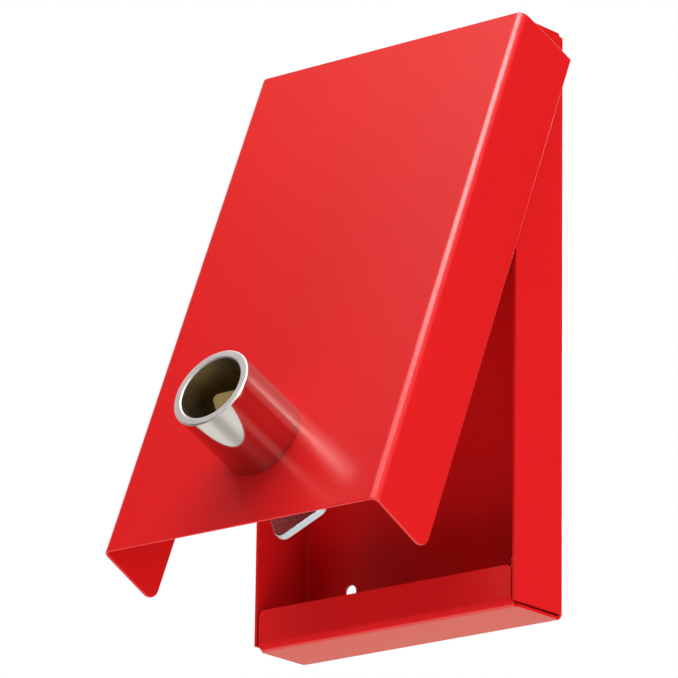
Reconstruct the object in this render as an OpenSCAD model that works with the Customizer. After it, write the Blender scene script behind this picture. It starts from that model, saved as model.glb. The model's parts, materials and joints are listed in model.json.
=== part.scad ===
// Wall-mounted emergency key box of folded sheet steel.
// The front lid is hinged at its top edge and is opened with a triangular socket key
// that reaches down a guard tube. All sizes are in millimetres.
// Origin: centre of the four wall holes, on the back face. +X right, +Y into the wall, +Z up.

/* [Box] */
// Outside width of the box
box_w = 112; // [90:1:160]
// Outside height of the box
box_h = 207; // [185:1:300]
// Outside depth of the box, from the wall to the front edges
box_d = 28; // [27:0.5:45]
// Thickness of the sheet steel
sheet = 1; // [0.8:0.1:1.5]
// Inside radius of every fold
fold_r = 2; // [1:0.1:2.2]
// Height of the front lip on the bottom plate
lip_h = 14; // [10:0.5:18]
// Gap between the end of a lip and the side wall
lip_gap = 0.8; // [0.5:0.1:1.5]
// Radius on the free corners of a lip
lip_corner_r = 2; // [1:0.5:5]
// Open seam between a side wall's end and the plate that closes it
seam = 0.7; // [0.2:0.1:0.8]
// How far the side edges of an end plate lie inside the outer faces of the side walls
plate_inset = 1; // [0:0.1:1.5]

/* [Wall holes] */
// Distance between the wall holes from left to right
hole_dx = 72; // [40:1:76]
// Distance between the wall holes from bottom to top
hole_dz = 160; // [100:1:164]
// Diameter of a wall hole
hole_d = 5; // [4:0.5:7]

/* [Lid] */
// Height of the closed lid's bottom edge above the bottom of the box
lid_rise = 3.6; // [2:0.1:8]
// Depth of the lid's side flanges, with the face's thickness
flange_d = 28.8; // [24:0.1:28.8]
// How far a flange runs below the face's bottom edge at its back
flange_flare_low = 2; // [0:0.1:2.5]
// How far a flange runs above the face's top edge at its back
flange_flare_top = 1; // [0:0.1:1]
// Radius on the lower back corners of the flanges
flange_corner_r = 5; // [2:0.5:10]
// Gap between a flange and the side wall that it covers
side_gap = 1.4; // [0.8:0.1:3]
// Gap between the closed lid and the front edges of the box
front_gap = 0.6; // [0.6:0.1:1]
// How far the closed lid's top edge lies below the top of the box
top_drop = 0.4; // [0.2:0.1:1]
// Angle at which the lid stands open
open_angle = 22.2; // [15:0.1:23]
// Clearance between the open lid and the slanted corners that stop it
stop_gap = 0.3; // [0.3:0.1:0.6]

/* [Hinges] */
// Distance from the middle of the box to the middle of a hinge
hinge_x = 32; // [22:1:36]
// Length of one hinge
hinge_len = 30; // [20:1:32]
// Height of a hinge leaf below the pin
leaf_h = 11; // [7:0.5:12]
// Thickness of a hinge leaf
leaf = 1; // [0.8:0.1:1.2]
// Diameter of the hinge pin
pin_d = 2.4; // [2:0.1:3]
// Height of the pin below the top of the box
pin_drop = 5.1; // [4.5:0.1:6]
// Running clearance round the pin in the lid's knuckle
pin_play = 0.05; // [0.02:0.01:0.08]
// Gap between two knuckles
knuckle_gap = 0.3; // [0.3:0.05:0.6]
// Height of the lip that carries the hinges
hinge_lip_h = 18; // [17:0.5:22]

/* [Guard tube] */
// Outside diameter of the guard tube
guard_od = 30; // [29:0.5:34]
// Inside diameter of the guard tube
guard_id = 24; // [24:0.5:26]
// Length of the guard tube in front of the lid
guard_len = 29.5; // [24:0.5:40]
// Thickness of the tube's floor
guard_floor = 2.5; // [2:0.1:3.5]
// Bevel round both edges of the mouth
mouth_bevel = 0.4; // [0.2:0.1:0.8]

/* [Lock] */
// Height of the lock's axis above the bottom of the box
lock_rise = 38.4; // [38:0.1:60]
// Diameter of the threaded barrel
barrel_d = 20; // [19:0.5:20]
// Width of the barrel over its two flats
barrel_flats = 18; // [17:0.5:18.5]
// Clearance round the barrel in the lid and the tube
barrel_gap = 0.1; // [0.05:0.05:0.2]
// Diameter of the barrel's head
head_d = 23; // [22:0.5:23.2]
// Thickness of the barrel's head
head_h = 3; // [2:0.5:4]
// Depth of the barrel's rear end behind the lid's front face
barrel_end = 8.6; // [8.6:0.1:12]
// Pitch of the barrel's thread
thread_pitch = 1; // [0.75:0.25:1.5]
// Thickness of the toothed washer
tooth_washer_h = 0.8; // [0.6:0.1:1]
// Width of the lock nut over its flats
nut_flats = 25; // [24:0.5:27]
// Thickness of the lock nut
nut_h = 5; // [4:0.5:5.5]

/* [Spindle] */
// Side length of the triangular head
tri_side = 14; // [11:0.5:14.5]
// Diameter to which the triangle's corners are turned
tri_turned_d = 13.6; // [11:0.1:14]
// Depth of the triangle's front face below the mouth of the tube
tri_depth = 8; // [5:0.5:12]
// Diameter of the spindle in the barrel
shaft_d = 12; // [10:0.5:12.5]
// Running clearance round the spindle
shaft_play = 0.05; // [0.02:0.01:0.1]
// Diameter of the collar under the triangle
collar_d = 15.5; // [15:0.5:17]
// Thickness of the collar
collar_h = 2; // [1.5:0.5:3]
// Size of the square that drives the cam
square_w = 8; // [7:0.5:8]
// Thickness of the disc that limits the turn
stop_disc_h = 1.3; // [1:0.1:1.5]
// Turn of the spindle from latched to free
turn_range = 90; // [60:5:100]
// Turn of the spindle from latched as it stands at rest
turn_rest = 31; // [0:1:59]

/* [Cam] */
// Reach of the cam from the spindle's axis
cam_reach = 35; // [30:0.1:35]
// Width of the cam
cam_w = 20.6; // [18:0.2:22]
// Thickness of the cam
cam_t = 3; // [2:0.5:3]
// Radius on the cam's corners
cam_corner_r = 4; // [2:0.5:6]

/* [Cam screw] */
// Diameter of the cam screw
screw_d = 5; // [4:0.5:5]
// Length of the screw below its head
screw_len = 14; // [10:1:16]
// Width of the screw's hexagon head over its flats
screw_flats = 8; // [7:0.5:8]
// Height of the screw's head
screw_head_h = 3.5; // [3:0.5:4]
// Outside diameter of the flat washer
flat_washer_d = 15; // [12:0.5:16]
// Thickness of the flat washer
flat_washer_h = 1.2; // [1:0.1:1.5]
// Outside diameter of the spring washer
spring_washer_d = 9; // [8.5:0.5:10]
// Thickness of the spring washer
spring_washer_h = 1.3; // [1:0.1:1.5]

/* [Key hook] */
// Height of the hook's arm above the middle of the box
hook_z = 38; // [20:1:45]
// Width of the hook strip
hook_w = 10; // [8:0.5:14]
// Thickness of the hook strip
hook_t = 1.5; // [1:0.1:2]
// Length of the arm in front of the back panel
hook_reach = 14; // [10:0.5:17]
// Height of the hook's turned-up end
hook_tip = 7; // [5:0.5:10]
// Height of the hook's back plate above the arm
hook_plate = 24; // [22:1:34]
// Diameter of a hook rivet
rivet_d = 3.2; // [2.5:0.1:4]
// Distance between the two rivets
rivet_pitch = 9.6; // [8:0.1:10]
// Distance from the upper rivet to the top of the back plate
rivet_inset = 6; // [4:0.5:6]

/* [Hidden] */
$fn = 64;

// Folds and places of the box
fold_out = fold_r + sheet;
box_top = box_h / 2;
box_bottom = -box_h / 2;
wall_foot = sheet + seam;
lip_w = box_w - 2 * (sheet + lip_gap);

// The hinge axis lies one knuckle radius behind the closed lid's inside face
knuckle_r = pin_d / 2 + leaf;
lid_inside = -(box_d + front_gap);
lid_front = lid_inside - sheet;
hinge_y = lid_inside + knuckle_r;
hinge_z = box_top - pin_drop;
hinge_lip_y = hinge_y + knuckle_r;
knuckle_len = (hinge_len - 2 * knuckle_gap) / 3;
pin_head_r = 1.4 * pin_d / 2;
pin_head_h = 0.6;

// The closed lid
lid_w = box_w + 2 * (side_gap + sheet);
lid_top = box_top - top_drop;
lid_bottom = box_bottom + lid_rise;
lock_z = box_bottom + lock_rise;

// Depths behind the lid's front face, on the lock's axis; negative is in front of it
mouth_q = -guard_len;
floor_q = -guard_floor;
head_q = floor_q - head_h;
washer_q = sheet;
nut_q = washer_q + tooth_washer_h;
axial_play = 0.1;
collar_q = head_q - axial_play;
tri_q = mouth_q + tri_depth;
disc_gap = 0.3;
disc_q = barrel_end + disc_gap;
cam_q = disc_q + stop_disc_h;
cam_back = cam_q + cam_t;
square_gap = 0.05;
square_sunk = 0.3;
square_end = cam_back - square_sunk;
spring_q = cam_back + flat_washer_h;
screw_q = spring_q + spring_washer_h;

// The barrel's stop lug and the notch that runs over it
lug_in = 7.2;
lug_out = 9.4;
lug_angle = 40;
lug_side = 90 + lug_angle / 2;
notch_play = 1;
notch_r = lug_in - 0.3;
disc_r = 9.8;

// Heights of the two rivets in the hook's back plate
rivet_top = hook_z + hook_plate - rivet_inset;
rivet_heights = [rivet_top - rivet_pitch, rivet_top];

// Clearances of the small pieces
washer_gap = 0.2;
screw_play = 0.02;

// Small shapes of the turned pieces
thread_depth = 0.5;
edge_bevel = 0.5;
o_ring_w = 1.5;
o_ring_q = 3;
groove_play = 0.1;

// How far a cut runs past the face that it starts from, and a length beyond the whole box
past = 1;
far = 400;

// A U-shaped section with folded corners: base along X from y = 0, arms towards -Y
module u_section(w, d) {
    difference() {
        rounded_base(w, d, fold_out);
        translate([0, -sheet]) rounded_base(w - 2 * sheet, d, fold_r);
    }
}

// A rectangle that hangs from y = 0, with its two upper corners rounded
module rounded_base(w, d, r) {
    translate([-w / 2, -d]) square([w, d - r]);
    translate([-w / 2 + r, -d]) square([w - 2 * r, d]);
    for (side = [-1, 1]) translate([side * (w / 2 - r), -r]) circle(r);
}

// Draws a section given in (Y, Z) along X, centred
module along_x(w) {
    translate([-w / 2, 0, 0]) rotate([90, 0, 90]) linear_extrude(w) children();
}

// Draws a shape given in (X, Z) as a plate from depth q, h thick
module plate(q, h) {
    translate([0, q + h, 0]) rotate([90, 0, 0]) linear_extrude(h) children();
}

// Draws a round bar along Y from depth q, h long
module bar(q, h, r) {
    translate([0, q, 0]) rotate([-90, 0, 0]) cylinder(h = h, r = r);
}

// Turns a section given in (radius, depth) about the Y axis
module turned() {
    rotate([-90, 0, 0]) rotate_extrude() children();
}

// What is left outside a corner radius, for rounding the corner of a plate; the corner's
// second edge may lean outwards by a slant
module corner_waste(r, slant = 0) {
    reach = r + past;
    difference() {
        polygon([[0, 0], [reach, 0], [reach, reach], [-reach * sin(slant), reach * cos(slant)]]);
        circle(r);
    }
}

// Moves what is drawn on the closed lid to where the lid stands open
module on_lid() {
    translate([0, hinge_y, hinge_z])
        rotate([-open_angle, 0, 0])
            translate([0, -hinge_y, -hinge_z]) children();
}

// Origin on the lock's axis at the lid's front face, Y backwards
module on_lock() {
    on_lid() translate([0, lid_front, lock_z]) children();
}

// Turns what is drawn in the latched position to where it stands at rest
module on_spindle() {
    on_lock() rotate([0, -turn_rest, 0]) children();
}

// The side walls and the back panel, one fold at each back edge
module box_walls() {
    translate([0, 0, box_bottom + wall_foot])
        linear_extrude(box_h - 2 * wall_foot) u_section(box_w, box_d);
}

// A plate that closes one end, with its lip between the side walls
module end_plate(depth, lip) {
    plate_w = box_w - 2 * plate_inset;
    difference() {
        along_x(lip_w) translate([-depth / 2, 0]) mirror([0, 1]) u_section(depth, lip);
        for (side = [-1, 1])
            translate([side * (lip_w / 2 - lip_corner_r), 0, lip - lip_corner_r])
                mirror([side < 0 ? 1 : 0, 0, 0])
                    plate(-depth - past, sheet + 2 * past) corner_waste(lip_corner_r);
    }
    translate([-plate_w / 2, -depth + fold_out, 0])
        cube([plate_w, depth - 2 * fold_out, sheet]);
}

module back_panel_hole(d) {
    bar(-sheet - past, sheet + 2 * past, d / 2);
}

module box_shell() {
    color([0.86, 0.10, 0.13])
        difference() {
            union() {
                box_walls();
                translate([0, 0, box_bottom]) end_plate(box_d, lip_h);
                translate([0, 0, box_top])
                    mirror([0, 0, 1]) end_plate(-hinge_lip_y, hinge_lip_h);
            }
            for (x = [-hole_dx / 2, hole_dx / 2], z = [-hole_dz / 2, hole_dz / 2])
                translate([x, 0, z]) back_panel_hole(hole_d);
            for (z = rivet_heights) translate([0, 0, z]) back_panel_hole(rivet_d);
            // The corners that the open lid rests on are cut to its slant
            on_lid()
                translate([-far / 2, lid_inside + stop_gap - far, -far / 2])
                    cube([far, far, far]);
        }
}

// One hinge leaf below the pin: dir is 1 for the box's leaf and -1 for the lid's
module hinge_leaf(dir, bore_r, knuckles) {
    flat_y = dir > 0 ? knuckle_r - leaf : -knuckle_r;
    difference() {
        union() {
            translate([-hinge_len / 2, flat_y, -leaf_h])
                cube([hinge_len, leaf, leaf_h - knuckle_r - knuckle_gap]);
            for (i = knuckles)
                translate([(i - 1) * (knuckle_len + knuckle_gap) - knuckle_len / 2, 0, 0]) {
                    rotate([0, 90, 0]) cylinder(h = knuckle_len, r = knuckle_r);
                    translate([0, flat_y, -leaf_h]) cube([knuckle_len, leaf, leaf_h]);
                }
        }
        translate([-hinge_len, 0, 0]) rotate([0, 90, 0]) cylinder(h = 2 * hinge_len, r = bore_r);
    }
}

module hinge_box_leaf(side) {
    color([0.72, 0.73, 0.75])
        translate([side * hinge_x, hinge_y, hinge_z]) hinge_leaf(1, pin_d / 2, [0, 2]);
}

module hinge_lid_leaf(side) {
    color([0.72, 0.73, 0.75])
        on_lid()
            translate([side * hinge_x, hinge_y, hinge_z])
                hinge_leaf(-1, pin_d / 2 + pin_play, [1]);
}

module hinge_pin(side) {
    color([0.78, 0.79, 0.80])
        translate([side * hinge_x, hinge_y, hinge_z])
            rotate([0, 90, 0]) {
                translate([0, 0, -hinge_len / 2]) cylinder(h = hinge_len, r = pin_d / 2);
                for (end = [-1, 1])
                    mirror([0, 0, end < 0 ? 1 : 0])
                        translate([0, 0, hinge_len / 2])
                            cylinder(h = pin_head_h, r1 = pin_head_r, r2 = pin_d / 2);
            }
}

module hinge_box_leaf_left() { hinge_box_leaf(-1); }
module hinge_box_leaf_right() { hinge_box_leaf(1); }
module hinge_lid_leaf_left() { hinge_lid_leaf(-1); }
module hinge_lid_leaf_right() { hinge_lid_leaf(1); }
module hinge_pin_left() { hinge_pin(-1); }
module hinge_pin_right() { hinge_pin(1); }

// The hook's side view in (Y, Z): back plate, fold, arm, fold and turned-up end
module hook_section() {
    fold = 2 * hook_t;
    back = -sheet;
    tip = back - hook_reach;
    translate([back - hook_t, hook_z + fold]) square([hook_t, hook_plate - fold]);
    translate([tip + fold, hook_z]) square([hook_reach - 2 * fold, hook_t]);
    translate([tip, hook_z + fold]) square([hook_t, hook_tip - fold]);
    translate([back - fold, hook_z + fold]) quarter_fold(fold, 1);
    translate([tip + fold, hook_z + fold]) quarter_fold(fold, -1);
}

// A quarter of a ring, hook_t thick, below the origin towards the given side
module quarter_fold(r, side) {
    intersection() {
        difference() {
            circle(r);
            circle(r - hook_t);
        }
        translate([side > 0 ? 0 : -r, -r]) square([r, r]);
    }
}

module key_hook() {
    color([0.75, 0.76, 0.78])
        difference() {
            along_x(hook_w) hook_section();
            for (z = rivet_heights)
                translate([0, 0, z]) bar(-sheet - hook_t - past, hook_t + 2 * past, rivet_d / 2);
        }
}

// Round-headed rivets, closed flush with the wall face
module hook_rivets() {
    head_r = rivet_d;
    rise = 0.4 * rivet_d;
    dome_r = (head_r * head_r + rise * rise) / (2 * rise);
    color([0.80, 0.80, 0.82])
        for (z = rivet_heights)
            translate([0, 0, z]) {
                bar(-sheet - hook_t, sheet + hook_t, rivet_d / 2);
                translate([0, -sheet - hook_t, 0])
                    turned()
                        intersection() {
                            translate([0, dome_r - rise]) circle(dome_r);
                            translate([0, -rise]) square([head_r, rise]);
                        }
            }
}

// The double-D outline of the barrel, grown by gap
module barrel_outline(gap) {
    intersection() {
        circle(barrel_d / 2 + gap);
        square([barrel_flats + 2 * gap, 2 * barrel_d], center = true);
    }
}

// The lid's side view in (Y, Z): the flanges grow a little longer towards the wall
module lid_outline() {
    back = lid_front + flange_d;
    slant = atan(flange_flare_low / flange_d);
    corner_y = back - flange_corner_r;
    edge_z = lid_bottom - flange_flare_low * (corner_y - lid_front) / flange_d;
    difference() {
        polygon([
            [lid_front, lid_bottom], [back, lid_bottom - flange_flare_low],
            [back, lid_top + flange_flare_top], [lid_front, lid_top]
        ]);
        translate([corner_y, edge_z + flange_corner_r / cos(slant)])
            mirror([0, 1]) corner_waste(flange_corner_r, slant);
    }
}

module lid_shell() {
    longest = lid_top - lid_bottom + flange_flare_low + flange_flare_top;
    color([0.90, 0.17, 0.16])
        on_lid()
            difference() {
                intersection() {
                    translate([0, lid_front, lid_bottom - flange_flare_low])
                        linear_extrude(longest) mirror([0, 1]) u_section(lid_w, flange_d);
                    along_x(lid_w + 2 * past) lid_outline();
                }
                translate([0, lid_front, lock_z])
                    plate(-past, sheet + 2 * past) barrel_outline(barrel_gap);
            }
}

module guard_tube() {
    outer = guard_od / 2;
    inner = guard_id / 2;
    color([0.80, 0.81, 0.83])
        on_lock()
            difference() {
                turned()
                    polygon([
                        [0, floor_q], [inner, floor_q],
                        [inner, mouth_q + mouth_bevel], [inner + mouth_bevel, mouth_q],
                        [outer - mouth_bevel, mouth_q], [outer, mouth_q + mouth_bevel],
                        [outer, 0], [0, 0]
                    ]);
                plate(floor_q - past, guard_floor + 2 * past) barrel_outline(barrel_gap);
            }
}

// The thread as rings with a narrow crest, from depth q for a given length
module thread_grooves(q, length) {
    turns = floor(length / thread_pitch);
    crest_r = barrel_d / 2;
    half_crest = 0.1 * thread_pitch;
    for (i = [0 : turns - 1])
        translate([0, q + i * thread_pitch, 0])
            turned()
                polygon([
                    [crest_r + past, 0], [crest_r + past, thread_pitch], [crest_r, thread_pitch - half_crest],
                    [crest_r - thread_depth, thread_pitch / 2], [crest_r, half_crest]
                ]);
}

// A sector of a disc in (X, Z), from angle a to angle b, anticlockwise seen from the front
module sector(a, b, r) {
    steps = 8;
    reach = 2 * r;
    intersection() {
        circle(r);
        polygon(concat(
            [[0, 0]],
            [for (i = [0 : steps]) reach * [cos(a + (b - a) * i / steps), sin(a + (b - a) * i / steps)]]
        ));
    }
}

module lock_body() {
    head_r = head_d / 2;
    lug_root = 0.2;
    color([0.78, 0.62, 0.28])
        on_lock()
            difference() {
                union() {
                    turned()
                        polygon([
                            [0, head_q], [head_r - edge_bevel, head_q], [head_r, head_q + edge_bevel],
                            [head_r, floor_q], [0, floor_q]
                        ]);
                    difference() {
                        plate(floor_q, barrel_end - floor_q) barrel_outline(0);
                        thread_grooves(nut_q, barrel_end - nut_q);
                    }
                    plate(barrel_end - lug_root, disc_gap + stop_disc_h) difference() {
                        sector(90 - lug_angle / 2, lug_side, lug_out);
                        circle(lug_in);
                    }
                }
                bar(head_q - past, barrel_end - head_q + 2 * past, shaft_d / 2 + shaft_play);
            }
}

// The toothed washer that bites into the lid behind the lock nut
module tooth_washer() {
    teeth = 20;
    rim = nut_flats / 2 + 1;
    root = rim - 1.6;
    half_notch = 1.2;
    bore_gap = 0.3;
    color([0.72, 0.73, 0.74])
        on_lock()
            plate(washer_q, tooth_washer_h)
                difference() {
                    circle(rim);
                    circle(barrel_d / 2 + bore_gap);
                    for (i = [0 : teeth - 1])
                        rotate(i * 360 / teeth)
                            polygon([[root, 0], [rim + past, -half_notch], [rim + past, half_notch]]);
                }
}

module lock_nut() {
    corner_r = nut_flats / 2 / cos(30);
    bevel = (corner_r - nut_flats / 2) / 2;
    thread_play = 0.05;
    color([0.76, 0.77, 0.79])
        on_lock()
            difference() {
                intersection() {
                    plate(nut_q, nut_h) circle(corner_r, $fn = 6);
                    turned()
                        polygon([
                            [0, nut_q], [corner_r, nut_q], [corner_r, nut_q + nut_h - bevel],
                            [nut_flats / 2, nut_q + nut_h], [0, nut_q + nut_h]
                        ]);
                }
                bar(nut_q - past, nut_h + 2 * past, barrel_d / 2 + thread_play);
            }
}

// The turned triangle of the drive, one corner pointing along +X when latched
module triangle_outline() {
    circle(tri_side / sqrt(3), $fn = 3);
}

module spindle() {
    shaft_r = shaft_d / 2;
    collar_r = collar_d / 2;
    turned_r = tri_turned_d / 2;
    groove_r = shaft_r - o_ring_w;
    groove_front = o_ring_q - o_ring_w / 2 - groove_play;
    groove_back = o_ring_q + o_ring_w / 2 + groove_play;
    color([0.80, 0.63, 0.27])
        on_spindle()
            difference() {
                union() {
                    intersection() {
                        plate(tri_q, collar_q - tri_q) triangle_outline();
                        turned()
                            polygon([
                                [0, tri_q], [turned_r - edge_bevel, tri_q], [turned_r, tri_q + edge_bevel],
                                [turned_r, collar_q], [0, collar_q]
                            ]);
                    }
                    turned()
                        polygon([
                            [0, collar_q - collar_h], [collar_r - edge_bevel, collar_q - collar_h],
                            [collar_r, collar_q - collar_h + edge_bevel], [collar_r, collar_q],
                            [shaft_r, collar_q], [shaft_r, groove_front], [groove_r, groove_front],
                            [groove_r, groove_back], [shaft_r, groove_back], [shaft_r, disc_q], [0, disc_q]
                        ]);
                    plate(disc_q, square_end - disc_q) square(square_w, center = true);
                }
                bar(square_end - screw_len, screw_len + past, screw_d / 2);
            }
}

module o_ring() {
    color([0.08, 0.08, 0.09])
        on_spindle()
            turned() translate([shaft_d / 2 - o_ring_w / 2, o_ring_q]) circle(o_ring_w / 2, $fn = 24);
}

module square_hole() {
    square(square_w + 2 * square_gap, center = true);
}

// The notched disc that meets the barrel's lug at both ends of the turn
module stop_disc() {
    notch_end = lug_side - lug_angle - turn_range - notch_play;
    color([0.70, 0.71, 0.73])
        on_spindle()
            plate(disc_q, stop_disc_h)
                difference() {
                    circle(disc_r);
                    difference() {
                        sector(notch_end, lug_side + notch_play, disc_r + past);
                        circle(notch_r);
                    }
                    square_hole();
                }
}

module cam() {
    tip = cam_reach - cam_corner_r;
    color([0.80, 0.81, 0.82])
        on_spindle()
            plate(cam_q, cam_t)
                difference() {
                    union() {
                        circle(cam_w / 2);
                        translate([-cam_w / 2, -tip]) square([cam_w, tip]);
                        translate([-cam_w / 2 + cam_corner_r, -cam_reach])
                            square([cam_w - 2 * cam_corner_r, cam_reach]);
                        for (side = [-1, 1])
                            translate([side * (cam_w / 2 - cam_corner_r), -tip]) circle(cam_corner_r);
                    }
                    square_hole();
                }
}

module cam_washer() {
    color([0.74, 0.75, 0.77])
        on_spindle()
            plate(cam_back, flat_washer_h) ring(flat_washer_d / 2, screw_d / 2 + washer_gap);
}

module ring(outer, inner) {
    difference() {
        circle(outer);
        circle(inner);
    }
}

// The split washer; the split is a slanted cut
module spring_washer() {
    outer = spring_washer_d / 2;
    split_w = 0.5;
    split_slant = 20;
    color([0.60, 0.61, 0.63])
        on_spindle()
            difference() {
                plate(spring_q, spring_washer_h) ring(outer, screw_d / 2 + washer_gap);
                translate([outer / 2, spring_q + spring_washer_h / 2, 0])
                    rotate([split_slant, 0, 0])
                        cube([outer + past, 4 * spring_washer_h, split_w], center = true);
            }
}

module cam_screw() {
    corner_r = screw_flats / 2 / cos(30);
    bevel = (corner_r - screw_flats / 2) / 2;
    head_back = screw_q + screw_head_h;
    color([0.77, 0.78, 0.80])
        on_spindle() {
            intersection() {
                plate(screw_q, screw_head_h) circle(corner_r, $fn = 6);
                turned()
                    polygon([
                        [0, screw_q], [corner_r, screw_q], [corner_r, head_back - bevel],
                        [screw_flats / 2, head_back], [0, head_back]
                    ]);
            }
            bar(screw_q - screw_len, screw_len, screw_d / 2 - screw_play);
        }
}

box_shell();
hinge_box_leaf_left();
hinge_box_leaf_right();
hinge_pin_left();
hinge_pin_right();
key_hook();
hook_rivets();
lid_shell();
hinge_lid_leaf_left();
hinge_lid_leaf_right();
guard_tube();
lock_body();
tooth_washer();
lock_nut();
spindle();
o_ring();
stop_disc();
cam();
cam_washer();
spring_washer();
cam_screw();
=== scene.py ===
import json
import math

import bmesh
import bpy
from mathutils import Matrix, Vector


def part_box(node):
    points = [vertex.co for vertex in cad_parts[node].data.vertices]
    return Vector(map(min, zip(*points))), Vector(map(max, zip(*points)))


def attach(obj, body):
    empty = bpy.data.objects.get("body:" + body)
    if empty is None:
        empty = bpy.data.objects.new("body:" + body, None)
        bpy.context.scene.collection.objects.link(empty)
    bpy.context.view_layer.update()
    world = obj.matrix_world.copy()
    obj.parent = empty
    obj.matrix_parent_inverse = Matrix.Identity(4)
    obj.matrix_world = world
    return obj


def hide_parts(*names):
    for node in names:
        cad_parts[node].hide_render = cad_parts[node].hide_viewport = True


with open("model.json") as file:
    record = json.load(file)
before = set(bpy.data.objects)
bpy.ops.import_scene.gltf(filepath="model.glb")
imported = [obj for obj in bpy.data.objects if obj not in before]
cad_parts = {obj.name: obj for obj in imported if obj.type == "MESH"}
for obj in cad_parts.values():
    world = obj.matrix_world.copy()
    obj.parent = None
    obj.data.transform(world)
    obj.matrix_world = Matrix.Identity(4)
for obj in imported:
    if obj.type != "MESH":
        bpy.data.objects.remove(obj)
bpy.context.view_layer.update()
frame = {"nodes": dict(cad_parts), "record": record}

bl_info = {
    "name": "Emergency key box",
    "version": (1, 0, 0),
    "blender": (4, 5, 0),
    "location": "3D View > Sidebar > Key box",
    "description": "Dresses the folded sheet-metal key box, its hinges, guard tube and cam lock",
    "category": "Object",
}

MM = 0.001

# Sizes shared with the CAD source
SHEET = 1.0 * MM
HOOK_STRIP = 1.5 * MM
BARREL_RADIUS = 10.0 * MM

# Roundings of edges
THREAD_EDGE = 0.08 * MM
RIVET_EDGE = 0.08 * MM
TUBE_EDGE = 0.12 * MM
HEAD_EDGE = 0.15 * MM
NUT_EDGE = 0.2 * MM
HOOK_EDGE = 0.25 * MM
CAM_EDGE = 0.45 * MM

# Facets round a full turn
RIVET_FACETS = 40
TUBE_FACETS = 128
WASHER_FACETS = 96
FLOOR_FACETS = 96

# Points closer than this are one point, and shorter edges are dropped
SAME_POINT = 0.002 * MM
SLIVER = 0.001 * MM
# A sweep along a path of this radius keeps the radii of its outline
PATH_RADIUS = 0.001 * MM
# Neighbouring faces that turn less than this are one flat face
FLAT_ANGLE = math.radians(0.4)

# Widths of the materials' patterns
COAT_DRIFT = 60 * MM
COAT_GRAIN = 0.35 * MM
METAL_SPECKS = 0.3 * MM
RUBBER_BLOOM = 1.2 * MM
# A wave texture of scale 1 repeats every 0.314 of a length unit
WAVE_LENGTH = 0.314

# Lamps: name, place in metres, width, height and the setting that holds the power
LAMPS = (
    ("overhead_strip", (0.05, -0.60, 0.98), 1.4, 0.22, "strip_power"),
    ("front_softbox", (-0.40, -1.60, 1.10), 1.4, 1.4, "front_power"),
    ("side_softbox", (1.75, 0.0, -0.15), 0.9, 0.9, "side_power"),
    ("low_softbox", (0.28, -0.95, -1.60), 1.2, 1.2, "low_power"),
    ("back_softbox", (-0.50, 1.90, 0.90), 1.2, 1.2, "back_power"),
)

# Reflection cards: name, direction, distance, half width, heights of the fade, lower and upper colour
CARDS = (
    ("right_card", (0.609, 0.738, 0.290), 1.6, 1.1, (0.0, 1.0), ("#141414", "#141414")),
    ("left_card", (-0.635, -0.53, 0.54), 1.0, 0.62, (0.16, 0.60), ("#202020", "#FFF0E0")),
    ("front_card", (0.84, -0.52, 0.16), 1.6, 0.66, (0.0, 1.0), ("#181818", "#181818")),
    ("near_card", (-0.346, -0.811, -0.470), 0.8, 0.93, (0.0, 1.0), ("#181818", "#181818")),
    ("low_card", (-0.609, 0.738, -0.290), 1.8, 1.0, (0.0, 1.0), ("#D8CEBA", "#D8CEBA")),
)

# The camera's aim and its shift in the picture, from the fit to the photo's straight edges
AIM = (0, -13.97 * MM, 0)
SHIFT_RIGHT = 24.67 * MM
SHIFT_UP = -1.205 * MM

# The floor's radius, and the distances between which it turns into the white background
FLOOR_RADIUS = 12
FLOOR_FADE = (0.2, 1.2)

# The lock's axis as the packed record gives it; it points out of the lid
LOCK_JOINT = next(j for j in frame["record"]["behaviour"]["joints"] if j["name"] == "spindle_turn")
HINGE_JOINT = next(j for j in frame["record"]["behaviour"]["joints"] if j["name"] == "lid_hinge")
OPEN_ANGLE = math.radians(HINGE_JOINT["range_deg"][1])


# Small helpers

def linear(hex_colour):
    """Turn an sRGB hex colour into linear RGBA."""
    parts = [int(hex_colour[i:i + 2], 16) / 255 for i in (1, 3, 5)]
    return tuple(c / 12.92 if c <= 0.04045 else ((c + 0.055) / 1.055) ** 2.4 for c in parts) + (1.0,)


def add_node(tree, kind, inputs=None, **settings):
    """Add a node with its settings; an input given as a socket is linked, any other is a value."""
    node = tree.nodes.new(kind)
    for name, value in settings.items():
        setattr(node, name, value)
    for key, value in (inputs or {}).items():
        if isinstance(value, bpy.types.NodeSocket):
            tree.links.new(value, node.inputs[key])
        else:
            node.inputs[key].default_value = value
    return node


def lock_matrix():
    """Local Y runs inwards along the lock's axis from the lid's front face, local Z up the lid."""
    return Matrix.Translation(LOCK_JOINT["pos_m"]) @ Matrix.Rotation(-OPEN_ANGLE, 4, "X")


def link_object(name, mesh, materials=()):
    """Make an object at the origin from a mesh."""
    for material in materials:
        mesh.materials.append(material)
    piece = bpy.data.objects.new(name, mesh)
    bpy.context.scene.collection.objects.link(piece)
    return piece


def declare(piece, body, slot, *nodes):
    """Ride on a body and stand for CAD nodes, which are hidden; the slot is not used."""
    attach(piece, body)
    if nodes:
        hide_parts(*nodes)


def merged_copy(node_name):
    """A clean mesh of a CAD node: doubles merged and its flat faces joined."""
    bm = bmesh.new()
    bm.from_mesh(frame["nodes"][node_name].data)
    bmesh.ops.remove_doubles(bm, verts=bm.verts, dist=SAME_POINT)
    bmesh.ops.dissolve_degenerate(bm, edges=bm.edges, dist=SLIVER)
    bmesh.ops.dissolve_limit(bm, angle_limit=FLAT_ANGLE, verts=bm.verts, edges=bm.edges)
    bmesh.ops.recalc_face_normals(bm, faces=bm.faces)
    mesh = bpy.data.meshes.new(node_name + "_merged")
    bm.to_mesh(mesh)
    bm.free()
    return mesh


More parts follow.
